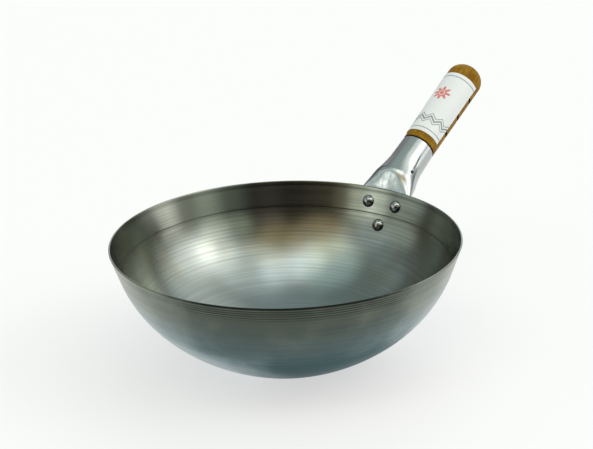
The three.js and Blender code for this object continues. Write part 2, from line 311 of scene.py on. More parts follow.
        # Painted shade: the grime is kept whole only on the dark side and cut back elsewhere, so on the
        # outside the rim's edge and the grooves are darkest on the front arc, standing in for a dark
        # reflection.
        kept = add_node(
            tree, "MapRange",
            {"Value": toward, 1: self.kept_range[0], 2: self.kept_range[1], 3: self.share_away_from_side, 4: 1.0},
            interpolation_type="SMOOTHSTEP",
        ).outputs[0]
        dark_share = add_node(tree, "Math", {0: grime_and_shade, 1: kept}, operation="MULTIPLY").outputs[0]
        colour = add_node(
            tree, "Mix", {0: dark_share, 6: lined, 7: linear(self.grime_and_shade)}, data_type="RGBA",
        ).outputs[2]
        rough, smooth = self.roughness + self.roughness_spread, self.roughness - self.roughness_spread
        roughness = add_node(
            tree, "MapRange", {"Value": lines, 1: NOISE_LOW, 2: NOISE_HIGH, 3: rough, 4: smooth},
        ).outputs[0]
        bump = add_node(
            tree, "Bump", {"Height": lines, "Distance": self.line_depth_mm * MM, "Strength": 1.0},
        ).outputs[0]
        fill_inputs(tree, shader, {
            "Metallic": 1.0,
            "Anisotropic": self.anisotropy,
            "Anisotropic Rotation": QUARTER_TURN,
            "Base Color": colour,
            "Roughness": roughness,
            "Normal": bump,
            "Tangent": hoop,
            "Specular Tint": edge,
        })


@dataclass(frozen=True)
class HandleFinish(Finish):
    """What the handle's finishes share: patterns that run along it, in the frame of the socket's mouth."""

    mouth: Vector = field(default_factory=Vector)
    tilt: float = 0.0

    def along(self, tree: NodeTree) -> NodeSocket:
        """Turns places on the piece into the handle's frame.

        Args:
            tree: Node tree of the material.

        Returns:
            The place, with Z along the handle.
        """
        place = add_node(tree, "TexCoord").outputs["Object"]
        turn = {"Vector": place, "Location": self.mouth, "Rotation": (0, self.tilt, 0)}
        return add_node(tree, "Mapping", turn, vector_type="TEXTURE").outputs[0]

    def drawn_out(
        self, tree: NodeTree, along: NodeSocket, size_mm: tuple[float, float], detail: float,
    ) -> NodeSocket:
        """Draws a noise pattern pulled out along the handle.

        Args:
            tree: Node tree of the material.
            along: Place in the handle's frame.
            size_mm: Width and length of a streak.
            detail: Detail of the noise.

        Returns:
            The pattern's value.
        """
        across, down = (1 / (size * MM) for size in size_mm)
        pulled = add_node(
            tree, "VectorMath", {0: along, 1: (across, across, down)}, operation="MULTIPLY",
        ).outputs[0]
        return add_node(tree, "TexNoise", {"Vector": pulled, "Scale": 1.0, "Detail": detail}).outputs["Fac"]


@dataclass(frozen=True)
class BrightSheet(HandleFinish):
    """Bright rolled sheet steel: pale, glossy, with rolling streaks along the tube and a broken seam line."""

    light: str = "#b6bab8"
    dark: str = "#a8aeac"
    roughness: tuple[float, float] = (0.28, 0.15)
    streak_mm: tuple[float, float] = (3.0, 60.0)
    streak_range: tuple[float, float] = (0.35, 0.6)
    streak_depth_mm: float = 0.0012
    seam: str = "#6d7674"
    seam_start_mm: float = -13.0
    seam_drift: float = 0.105
    seam_length_mm: float = 32.0
    seam_width_mm: float = 0.7

    def paint(self, tree: NodeTree, shader: Node) -> None:
        """Draws the streaks, and the seam over them.

        Args:
            tree: Node tree of the material.
            shader: Its shader.
        """
        along = self.along(tree)
        streaks = self.drawn_out(tree, along, self.streak_mm, 3.0)
        start, end = self.streak_range
        colour = add_node(
            tree, "ValToRGB", {"Fac": streaks}, [(start, linear(self.dark)), (end, linear(self.light))],
        ).outputs["Color"]
        down, aside, height = add_node(tree, "SeparateXYZ", {0: along}).outputs
        line = add_node(
            tree, "Math", {0: height, 1: self.seam_drift, 2: self.seam_start_mm * MM},
            operation="MULTIPLY_ADD",
        ).outputs[0]
        drawn = add_node(
            tree, "Math", {0: aside, 1: line, 2: self.seam_width_mm * MM / 2}, operation="COMPARE",
        ).outputs[0]
        on_top = add_node(tree, "Math", {0: down, 1: 0.0}, operation="LESS_THAN").outputs[0]
        in_reach = add_node(
            tree, "Math", {0: height, 1: -self.seam_length_mm * MM}, operation="GREATER_THAN",
        ).outputs[0]
        broken = add_node(tree, "MapRange", {"Value": streaks, 1: start, 2: end}).outputs[0]
        for part in (on_top, in_reach, broken):
            drawn = add_node(tree, "Math", {0: drawn, 1: part}, operation="MULTIPLY").outputs[0]
        colour = add_node(
            tree, "Mix", {0: drawn, 6: colour, 7: linear(self.seam)}, data_type="RGBA",
        ).outputs[2]
        rough, smooth = self.roughness
        roughness = add_node(
            tree, "MapRange", {"Value": streaks, 1: NOISE_LOW, 2: NOISE_HIGH, 3: rough, 4: smooth},
        ).outputs[0]
        bump = add_node(
            tree, "Bump", {"Height": streaks, "Distance": self.streak_depth_mm * MM, "Strength": 1.0},
        ).outputs[0]
        fill_inputs(tree, shader, {
            "Metallic": 1.0, "Base Color": colour, "Roughness": roughness, "Normal": bump,
        })


@dataclass(frozen=True)
class HammeredSteel(Finish):
    """Mild steel closed with a hammer: dark in the dents, bright where it was struck."""

    light: str = "#b9bdba"
    dark: str = "#5a5e5c"
    roughness: float = 0.22
    dent_mm: float = 2.4
    dent_range: tuple[float, float] = (0.35, 0.65)
    dent_depth_mm: float = 0.15

    def paint(self, tree: NodeTree, shader: Node) -> None:
        """Mottles the colour by the size of a dent.

        Args:
            tree: Node tree of the material.
            shader: Its shader.
        """
        place = add_node(tree, "TexCoord").outputs["Object"]
        dents = add_node(
            tree, "TexNoise", {"Vector": place, "Scale": 1 / (self.dent_mm * MM), "Detail": 3.0},
        ).outputs["Fac"]
        start, end = self.dent_range
        colour = add_node(
            tree, "ValToRGB", {"Fac": dents}, [(start, linear(self.dark)), (end, linear(self.light))],
        ).outputs["Color"]
        bump = add_node(
            tree, "Bump", {"Height": dents, "Distance": self.dent_depth_mm * MM, "Strength": 1.0},
        ).outputs[0]
        fill_inputs(tree, shader, {
            "Metallic": 1.0, "Base Color": colour, "Roughness": self.roughness, "Normal": bump,
        })


@dataclass(frozen=True)
class VarnishedWood(HandleFinish):
    """Turned light hardwood under amber varnish: long pores, a satin coat, rings burnt in with a wire, and
    painted shadow on the shoulder at the socket's mouth.
    """

    light: str = "#a8822a"
    dark: str = "#74510a"
    amber: str = "#7e5306"
    burn_and_shade_colour: str = "#120b06"
    roughness: float = 0.5
    burn_and_shade_roughness: float = 0.95
    gloss: float = 0.06
    pore_mm: tuple[float, float] = (1.1, 26.0)
    pore_range: tuple[float, float] = (0.3, 0.65)
    pore_depth_mm: float = 0.05
    mottle_mm: float = 9.0
    mottle_range: tuple[float, float] = (0.4, 0.65)
    mottle_share: float = 0.7

    def paint(self, tree: NodeTree, shader: Node) -> None:
        """Draws the pores along the grip, darkens the burnt rings, and paints shadow on the shoulder at the
        socket's mouth.

        Args:
            tree: Node tree of the material.
            shader: Its shader.
        """
        along = self.along(tree)
        pores = self.drawn_out(tree, along, self.pore_mm, 4.0)
        start, end = self.pore_range
        wood = add_node(
            tree, "ValToRGB", {"Fac": pores}, [(start, linear(self.dark)), (end, linear(self.light))],
        ).outputs["Color"]
        mottle = add_node(
            tree, "TexNoise", {"Vector": along, "Scale": 1 / (self.mottle_mm * MM), "Detail": 3.0},
        ).outputs["Fac"]
        start, end = self.mottle_range
        soaked = add_node(
            tree, "MapRange", {"Value": mottle, 1: start, 2: end, 3: 0.0, 4: self.mottle_share},
        ).outputs[0]
        varnished = add_node(
            tree, "Mix", {0: soaked, 6: wood, 7: linear(self.amber)}, data_type="RGBA",
        ).outputs[2]
        # One on the burnt rings, and on the shoulder at the socket's mouth, where it is painted shadow.
        burn_and_shade = add_node(tree, "Attribute", attribute_name="burn_and_shade").outputs["Fac"]
        colour = add_node(
            tree, "Mix", {0: burn_and_shade, 6: varnished, 7: linear(self.burn_and_shade_colour)}, data_type="RGBA",
        ).outputs[2]
        roughness = add_node(
            tree, "MapRange", {"Value": burn_and_shade, 3: self.roughness, 4: self.burn_and_shade_roughness},
        ).outputs[0]
        bump = add_node(
            tree, "Bump", {"Height": pores, "Distance": self.pore_depth_mm * MM, "Strength": 1.0},
        ).outputs[0]
        fill_inputs(tree, shader, {
            "Specular IOR Level": self.gloss, "Base Color": colour, "Roughness": roughness, "Normal": bump,
        })


@dataclass(frozen=True)
class CoatedPaper(Finish):
    """White coated paper with a plain printed ornament: a red rosette and grey zigzags between grey rules."""

    paper: str = "#eaedee"
    red: str = "#d9574b"
    grey: str = "#8d9897"
    roughness: float = 0.4
    length_mm: float = 78.0
    rosette_mm: tuple[float, float] = (0.0, 50.0)
    petals: int = 8
    petal_mm: tuple[float, float] = (6.4, 2.2)
    petal_edge_mm: float = 0.2
    eye_mm: float = 2.6
    eye_line_mm: float = 0.7
    rules_mm: tuple[tuple[float, float], ...] = ((4.5, 1.0),)
    zigzag_mm: float = 5.0
    zigzags_mm: tuple[tuple[float, float], ...] = ((11.0, 1.1), (14.5, 2.4), (18.0, 1.1))
    fibre_mm: float = 1.5
    fibre_range: tuple[float, float] = (0.3, 0.6)
    fibre_depth_mm: float = 0.02
    ink_share: tuple[float, float] = (0.7, 0.95)

    def rosette(self, tree: NodeTree, sheet: NodeSocket) -> NodeSocket:
        """Draws the rosette.

        Args:
            tree: Node tree of the material.
            sheet: Place on the sleeve, in millimetres.

        Returns:
            One on the petals and in the eye, zero elsewhere.
        """
        off = add_node(
            tree, "VectorMath", {0: sheet, 1: (*self.rosette_mm, 0)}, operation="SUBTRACT",
        ).outputs[0]
        radius = add_node(tree, "VectorMath", {0: off}, operation="LENGTH").outputs["Value"]
        aside, up, _ = add_node(tree, "SeparateXYZ", {0: off}).outputs
        angle = add_node(tree, "Math", {0: up, 1: aside}, operation="ARCTAN2").outputs[0]
        turned = add_node(tree, "Math", {0: angle, 1: self.petals}, operation="MULTIPLY").outputs[0]
        wave = add_node(tree, "Math", {0: turned}, operation="COSINE").outputs[0]
        edge = add_node(
            tree, "Math", {0: wave, 1: self.petal_mm[1], 2: self.petal_mm[0]}, operation="MULTIPLY_ADD",
        ).outputs[0]
        inside = add_node(tree, "Math", {0: edge, 1: radius}, operation="SUBTRACT").outputs[0]
        blend = {"Value": inside, 1: -self.petal_edge_mm, 2: self.petal_edge_mm}
        petals = add_node(tree, "MapRange", blend).outputs[0]
        ring = add_node(
            tree, "Math", {0: radius, 1: self.eye_mm, 2: self.eye_line_mm / 2}, operation="COMPARE",
        ).outputs[0]
        bare = add_node(tree, "Math", {0: 1.0, 1: ring}, operation="SUBTRACT").outputs[0]
        return add_node(tree, "Math", {0: petals, 1: bare}, operation="MULTIPLY").outputs[0]

    def paint(self, tree: NodeTree, shader: Node) -> None:
        """Prints the ornament by the sleeve's own millimetres.

        Args:
            tree: Node tree of the material.
            shader: Its shader.
        """
        sheet = add_node(tree, "UVMap", uv_map="print_mm").outputs[0]
        fibres = add_node(
            tree, "TexNoise", {"Vector": sheet, "Scale": 1 / self.fibre_mm, "Detail": 4.0},
        ).outputs["Fac"]
        start, end = self.fibre_range
        worn = add_node(
            tree, "MapRange", {"Value": fibres, 1: start, 2: end, 3: self.ink_share[0], 4: self.ink_share[1]},
        ).outputs[0]
        rosette = self.rosette(tree, sheet)
        inked = add_node(tree, "Math", {0: rosette, 1: worn}, operation="MULTIPLY").outputs[0]
        colour = add_node(
            tree, "Mix", {0: inked, 6: linear(self.paper), 7: linear(self.red)}, data_type="RGBA",
        ).outputs[2]
        across, along, _ = add_node(tree, "SeparateXYZ", {0: sheet}).outputs
        middle = add_node(tree, "Math", {0: along, 1: self.length_mm / 2}, operation="SUBTRACT").outputs[0]
        reach = add_node(tree, "Math", {0: middle}, operation="ABSOLUTE").outputs[0]
        peak = add_node(tree, "Math", {0: across, 1: self.zigzag_mm}, operation="PINGPONG").outputs[0]
        lifted = add_node(tree, "Math", {0: along, 1: peak}, operation="SUBTRACT").outputs[0]
        marks = [(reach, self.length_mm / 2 - inset, width) for inset, width in self.rules_mm]
        marks += [(lifted, height, width) for height, width in self.zigzags_mm]
        for measure, height, width in marks:
            mark = add_node(
                tree, "Math", {0: measure, 1: height, 2: width / 2}, operation="COMPARE",
            ).outputs[0]
            colour = add_node(
                tree, "Mix", {0: mark, 6: colour, 7: linear(self.grey)}, data_type="RGBA",
            ).outputs[2]
        bump = add_node(
            tree, "Bump", {"Height": fibres, "Distance": self.fibre_depth_mm * MM, "Strength": 1.0},
        ).outputs[0]
        fill_inputs(tree, shader, {"Base Color": colour, "Roughness": self.roughness, "Normal": bump})


@dataclass(frozen=True)
class PalePaint(Finish):
    """Matt pale paint on the studio floor, lifted towards white where it is seen."""

    colour: str = "#f1f2f1"
    roughness: float = 0.9
    lift: float = 0.6

    def paint(self, tree: NodeTree, shader: Node) -> None:
        """Sets one even matt colour and mixes white into it for rays that see the floor, not for its light.

        Args:
            tree: Node tree of the material.
            shader: Its shader.
        """
        fill_inputs(tree, shader, {"Base Color": linear(self.colour), "Roughness": self.roughness})
        rays = add_node(tree, "LightPath").outputs
        seen = rays["Is Camera Ray"]
        for kind in ("Is Glossy Ray", "Is Transmission Ray"):
            seen = add_node(tree, "Math", {0: seen, 1: rays[kind]}, operation="MAXIMUM").outputs[0]
        share = add_node(tree, "Math", {0: seen, 1: self.lift}, operation="MULTIPLY").outputs[0]
        white = add_node(tree, "Emission", {"Color": WHITE, "Strength": 1.0}).outputs[0]
        lifted = add_node(tree, "MixShader", {0: share, 1: shader.outputs[0], 2: white}).outputs[0]
        tree.links.new(lifted, tree.nodes["Material Output"].inputs["Surface"])


def spun(
    mesh: bmesh.types.BMesh,
    outline: Sequence[Vector],
    steps: int,
    marks: dict[str, Sequence[float]] | None = None,
) -> None:
    """Turns an outline in the XZ plane once about Z.

    Args:
        mesh: Mesh that gets the turned shape.
        outline: Points from axis to axis.
        steps: Faces round the axis.
        marks: Value at each point for each attribute by name, if the shape has any.
    """
    marks = marks or {}
    layers = [mesh.verts.layers.float.new(name) for name in marks]
    points = [mesh.verts.new(place) for place in outline]
    for layer, values in zip(layers, marks.values()):
        for point, value in zip(points, values):
            point[layer] = value
    edges = [mesh.edges.new(pair) for pair in zip(points, points[1:])]
    bmesh.ops.spin(
        mesh, geom=points + edges, cent=(0, 0, 0), axis=(0, 0, 1), angle=math.tau, steps=steps,
        use_merge=True,
    )


def made_piece(
    name: str,
    mesh: bmesh.types.BMesh,
    finishes: Sequence[Finish],
    node: str,
) -> Object:
    """Closes a mesh, makes it an object and sets it on the frame.

    Args:
        name: Name of the piece.
        mesh: Its shape, in the frame's metres.
        finishes: Finish of each material number.
        node: Node of the frame that the piece stands for.

    Returns:
        The new object, riding on the frame.
    """
    bmesh.ops.remove_doubles(mesh, verts=mesh.verts, dist=WELD)
    bmesh.ops.recalc_face_normals(mesh, faces=mesh.faces)
    for face in mesh.faces:
        face.smooth = True
    for edge in mesh.edges:
        edge.smooth = edge.calc_face_angle(0.0) < SHARP
    data = bpy.data.meshes.new(name)
    mesh.to_mesh(data)
    mesh.free()
    for finish in finishes:
        data.materials.append(finish.material())
    piece = bpy.data.objects.new(name, data)
    bpy.context.scene.collection.objects.link(piece)
    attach(piece, BODY)
    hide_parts(node)
    log.info("%s stands for %s with %d faces", name, node, len(data.polygons))
    return piece


@dataclass(frozen=True)
class WallPoint:
    """Point on the outside of the bowl's wall, with the wall's slope above level there."""

    radius: float
    height: float
    slope: float

    def offset(self, inward: float) -> Vector:
        """Point square to the wall at a distance into the bowl, in the XZ plane."""
        out, up = -inward * math.sin(self.slope), inward * math.cos(self.slope)
        return Vector((self.radius + out, 0, self.height + up))


@dataclass
class BowlWall:
    """Outside of the bowl as a curve, measured from the rim down: straight band, curved wall, knuckle."""

    rim_radius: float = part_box("bowl")[1].y
    depth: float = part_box("bowl")[1].z
    band_height: float = 23 * MM
    band_slope: float = math.radians(71)
    fullness: float = 0.347
    foot_radius: float = 43.5 * MM
    knuckle_radius: float = 20 * MM
    knuckle_slope: float = math.radians(20)
    curve_steps: int = 400
    knuckle_steps: int = 24
    slope_reach: float = 0.5 * MM

    def __post_init__(self) -> None:
        """Lays the curve out once, as close points with their distance from the rim."""
        high = Vector((
            self.rim_radius - self.band_height / math.tan(self.band_slope), self.depth - self.band_height,
        ))
        low = self.knuckle(self.knuckle_slope)
        pull = self.fullness * (high - low).length
        handle_high = high - pull * Vector((math.cos(self.band_slope), math.sin(self.band_slope)))
        handle_low = low + pull * Vector((math.cos(self.knuckle_slope), math.sin(self.knuckle_slope)))
        self.points = [Vector((self.rim_radius, self.depth))]
        self.points += interpolate_bezier(high, handle_high, handle_low, low, self.curve_steps)
        for i in reversed(range(self.knuckle_steps)):
            self.points.append(self.knuckle(self.knuckle_slope * i / self.knuckle_steps))
        self.runs = [0.0]
        for one, two in zip(self.points, self.points[1:]):
            self.runs.append(self.runs[-1] + (two - one).length)
        self.length = self.runs[-1]

    def knuckle(self, slope: float) -> Vector:
        """Point of the turn from the foot where the wall has that slope."""
        turned = Vector((math.sin(slope), 1 - math.cos(slope)))
        return Vector((self.foot_radius, 0)) + self.knuckle_radius * turned

    def point(self, run: float) -> Vector:
        """Radius and height at a distance from the rim.

        Args:
            run: Distance down the wall, in metres.

        Returns:
            Radius and height, on the straight line of the curve's end where the distance is past it.
        """
        low, high = 0, len(self.runs) - 1
        while high - low > 1:
            middle = (low + high) // 2
            if self.runs[middle] <= run:
                low = middle
            else:
                high = middle
        share = (run - self.runs[low]) / (self.runs[high] - self.runs[low])
        return self.points[low].lerp(self.points[high], share)

    def at(self, run: float) -> WallPoint:
        """Point and slope at a distance from the rim.

        Args:
            run: Distance down the wall, in metres.

        Returns:
            The point on the outside of the wall.
        """
        here = self.point(run)
        reach = min(self.slope_reach, run, self.length - run)
        across = self.point(run - reach) - self.point(run + reach) if reach > WELD else None
        if across is None:
            across = self.points[0] - self.points[1] if run < self.length / 2 else Vector((1, 0))
        return WallPoint(here.x, here.y, math.atan2(across.y, across.x))

    def run_at(self, drop: float) -> float:
        """Distance from the rim at which the wall is that far below it.

        Args:
            drop: Height below the rim, in metres.

        Returns:
            Distance down the wall.
        """
        for i, (one, two) in enumerate(zip(self.points, self.points[1:])):
            if two.y <= self.depth - drop:
                share = (one.y - self.depth + drop) / (one.y - two.y)
                return mix(self.runs[i], self.runs[i + 1], share)
        return self.length


@dataclass
class Bowl:
    """The spun bowl, with its tool marks as shape.

    There are grooves under the rim outside, and a crease, feed marks and ripples inside.
    """

    wall: BowlWall
    sheet: float = 1.5 * MM
    rim_round: float = 0.6 * MM
    rim_steps: int = 8
    steps: int = 128
    groove_pitch: float = 2.3 * MM
    groove_depth: float = 0.06 * MM
    groove_zone: float = 15 * MM
    groove_full: float = 9 * MM
    groove_grime: float = 0.8
    groove_step: float = 0.25 * MM
    rim_zone: float = 2 * MM
    rim_grime_and_shade: float = 0.9
    outside_step: float = 1.6 * MM
    inside_step: float = 0.6 * MM
    crease_width: float = 0.45 * MM
    crease_depth: float = 0.04 * MM
    crease_pair: float = 1.5 * MM
    crease_pair_share: float = 0.25
    crease_zone: float = 3 * MM
    crease_step: float = 0.2 * MM
    feed_pitch: float = 3.7 * MM
    feed_depth: float = 0.006 * MM
    feed_grime: float = 0.22
    feed_start: float = 3 * MM
    feed_upper: tuple[float, float] = (24 * MM, 40 * MM)
    feed_end: float = 4 * MM
    feed_lower: tuple[float, float] = (18 * MM, 26 * MM)
    feed_faint: float = 0.15
    feed_mean: float = 0.6
    feed_spread: float = 1.1
    under_rim_dark: float = 0.55
    under_rim_drop: float = 3.4 * MM
    under_rim_width: float = 1.3 * MM
    ripple_pitches: tuple[float, ...] = (1.9 * MM, 3.6 * MM, 7.5 * MM)
    ripple_depth: float = 0.006 * MM
    ripple_start: float = 4 * MM

    def groove(self, run: float) -> float:
        """Share of a groove's depth under the rim outside.

        Args:
            run: Distance down the wall from the rim, in metres.

        Returns:
            One in the middle of a groove, and zero between grooves and below them.
        """
        fade = 1 - smooth_step(run, self.groove_full, self.groove_zone)
        return fade * (0.5 - 0.5 * math.cos(math.tau * run / self.groove_pitch)) ** 2

    def crease(self, run: float) -> float:
        """Share of the crease's depth where the band ends inside, with a fainter crease below it.

        Args:
            run: Distance down the wall from the rim, in metres.

        Returns:
            One in the middle of the crease.
        """
        off = (run - self.wall.runs[1]) / self.crease_width
        pair = off - self.crease_pair / self.crease_width
        return math.exp(-off * off) + self.crease_pair_share * math.exp(-pair * pair)

    def feed(self, run: float) -> float:
        """Share of a feed mark left by the roller inside.

        The marks are clear below the crease and round the foot, and faint between.

        Args:
            run: Distance down the wall from the rim, in metres.

        Returns:
            One in the middle of a clear mark, and zero between marks and on the band.
        """
        below = run - self.wall.runs[1]
        above = self.wall.length - run
        started = smooth_step(below, 0, self.feed_start)
        upper = started * (1 - smooth_step(below, *self.feed_upper))
        lower = smooth_step(above, 0, self.feed_end) * (1 - smooth_step(above, *self.feed_lower))
        faint = self.feed_faint * started
        turn = below / self.feed_pitch
        drawn = noise.noise((math.floor(turn) + 0.4, 5.2, 1.7))
        uneven = min(1.0, max(self.feed_faint, self.feed_mean + self.feed_spread * drawn))
        return uneven * max(upper, lower, faint) * (0.5 - 0.5 * math.cos(math.tau * turn)) ** 3

    def mark(self, run: float, face: Face) -> float:
        """Height of the tool marks over the plain sheet.

        Args:
            run: Distance down the wall from the rim, in metres.
            face: Side of the sheet.

        Returns:
            Height out of the sheet, in metres.
        """
        if face is Face.OUTSIDE:
            return -self.groove_depth * self.groove(run)
        band = self.wall.runs[1]
        started = smooth_step(run, band, band + self.ripple_start)
        waves = sum(
            noise.noise((run / pitch, 3.7 * i, 0.5)) for i, pitch in enumerate(self.ripple_pitches)
        )
        cut = self.crease_depth * self.crease(run) + self.feed_depth * self.feed(run)
        return self.ripple_depth * started * waves - cut

    def grime_and_shade(self, run: float, face: Face) -> float:
        """Share of the dark colour: grime in the tool marks, a dark line along the crease, a dark strip under
        the rim inside, and the rim's dark edge outside, which is partly painted shade.

        Args:
            run: Distance down the wall from the rim, in metres.
            face: Side of the sheet.

        Returns:
            Zero on clean steel, up to one.
        """
        if face is Face.OUTSIDE:
            # The rim's edge is dark partly as a cut edge and partly as painted shade, which the material
            # keeps on the front arc.
            edge = 1 - smooth_step(run, self.rim_zone / 2, self.rim_zone)
            return max(self.groove_grime * self.groove(run), self.rim_grime_and_shade * edge)
        # A dark strip a few millimetres under the rim inside.
        darkening = self.under_rim_dark * math.exp(-((run - self.under_rim_drop) / self.under_rim_width) ** 2)
        return min(1.0, self.crease(run) + self.feed_grime * self.feed(run) + darkening)

    def outline(self) -> list[tuple[Vector, float, float]]:
        """Section of the sheet from the axis outside to the axis inside.

        Returns:
            Points in the XZ plane, each with its distance from the rim, negative outside, and its share of
            grime and painted shade.
        """
        end = self.wall.length
        outside, inside = [self.rim_round], [self.rim_round]
        while outside[-1] < end:
            grooved = outside[-1] < self.groove_zone
            outside.append(outside[-1] + (self.groove_step if grooved else self.outside_step))
        while inside[-1] < end:
            near_crease = abs(inside[-1] - self.wall.runs[1]) < self.crease_zone
            inside.append(inside[-1] + (self.crease_step if near_crease else self.inside_step))
        section = [(Vector((0, 0, 0)), -end, 0.0)]
        for run in [end] + outside[-2::-1]:
            place = self.wall.at(run).offset(-self.mark(run, Face.OUTSIDE))
            section.append((place, -run, self.grime_and_shade(run, Face.OUTSIDE)))
        edge = self.wall.at(self.rim_round)
        up_wall = Vector((math.cos(edge.slope), 0, math.sin(edge.slope)))
        for i in range(1, self.rim_steps):
            angle = math.pi * i / self.rim_steps
            across = self.sheet / 2 * (1 - math.cos(angle))
            place = edge.offset(across) + self.rim_round * math.sin(angle) * up_wall
            section.append((place, 0.0, self.rim_grime_and_shade))
        for run in inside[:-1] + [end]:
            place = self.wall.at(run).offset(self.sheet + self.mark(run, Face.INSIDE))
            section.append((place, run, self.grime_and_shade(run, Face.INSIDE)))
        section.append((Vector((0, 0, self.sheet)), end, 0.0))
        return section

    def build(self) -> Object:
        """Spins the section and gives each side its finish.

        Returns:
            The bowl's object.
        """
        places, runs, grime_and_shade_shares = zip(*self.outline())
        mesh = bmesh.new()
        spun(mesh, places, self.steps, {"run_mm": [run / MM for run in runs], "grime_and_shade": grime_and_shade_shares})
        bmesh.ops.remove_doubles(mesh, verts=mesh.verts, dist=WELD)
        run_layer = mesh.verts.layers.float["run_mm"]
        for face in mesh.faces:
            face.material_index = 0 if sum(point[run_layer] for point in face.verts) > WELD else 1
        inside = SpunSteel(
            "spun_steel_inside", dark_side=Vector((0.883, 0.469, 0)), dark_lean=0.0, share_away_from_side=0.6,
        )
        # Outside, the tone down the wall is painted reflection: darker and warmer under the rim, paler and
        # bluish lower down. The painted shade darkens the front arc and, lower down, a side that leans round
        # the bowl, and the edge tint dulls the grazing reflection there.
        outside = SpunSteel(
            "spun_steel_outside", upper="#979b8e", lower="#a8bbbf", painted_shade="#8f9593", painted_shade_low="#68757a",
            shade_mm=(4.0, 70.0), wander_mm=14.0, edge="#c8d9da", roughness=0.3, anisotropy=0.35,
        )
        return made_piece("spun_bowl", mesh, [inside, outside], "bowl")


@dataclass
class HandleFrame:
    """Where the handle stands: spine of the pressed tube, and the frame of its mouth."""

    wall: BowlWall
    rise: float = math.radians(29.8)
    bend_radius: float = 11 * MM
    straight: float = 58 * MM
    sheet: float = 1.2 * MM
    seat_gap: float = 0.3 * MM
    upper_drop: float = 13.2 * MM
    lower_drop: float = 32.4 * MM
    rivet_spread: float = 30.6 * MM
    tail_radius: float = 4.4 * MM

    def __post_init__(self) -> None:
        """Works out where the bend starts and how long the tube is from there."""
        self.bend_run = self.wall.run_at(self.upper_drop) - self.tail_radius
        self.bend_slope = self.wall.at(self.bend_run).slope
        self.bend_length = self.bend_radius * (self.bend_slope - self.rise)
        self.mouth = self.bend_length + self.straight

    def spine(self, distance: float) -> WallPoint:
        """Middle line of the pressed tube.

        Args:
            distance: From the start of the bend, along the handle; below zero it runs down the wall.

        Returns:
            Point and slope of the line.
        """
        wall = self.wall.at(self.bend_run - min(distance, 0))
        foot = wall.offset(-self.seat_gap - self.sheet)
        slope = wall.slope
        if distance > 0:
            slope = self.bend_slope - min(distance, self.bend_length) / self.bend_radius
        straight = max(0.0, distance - self.bend_length)
        return WallPoint(
            foot.x + self.bend_radius * (math.sin(wall.slope) - math.sin(slope)) + straight * math.cos(slope),
            foot.z + self.bend_radius * (math.cos(slope) - math.cos(wall.slope)) + straight * math.sin(slope),
            slope,
        )

    @property
    def mouth_centre(self) -> Vector:
        """Centre of the tube's mouth."""
        end = self.spine(self.mouth)
        return Vector((end.radius, 0, end.height))

    @property
    def tilt(self) -> float:
        """Turn about Y that takes Z along the tube."""
        return math.pi / 2 - self.rise

    @property
    def matrix(self) -> Matrix:
        """Frame of the mouth: Z along the tube, minus X up."""
        return Matrix.Translation(self.mouth_centre) @ Matrix.Rotation(self.tilt, 4, "Y")


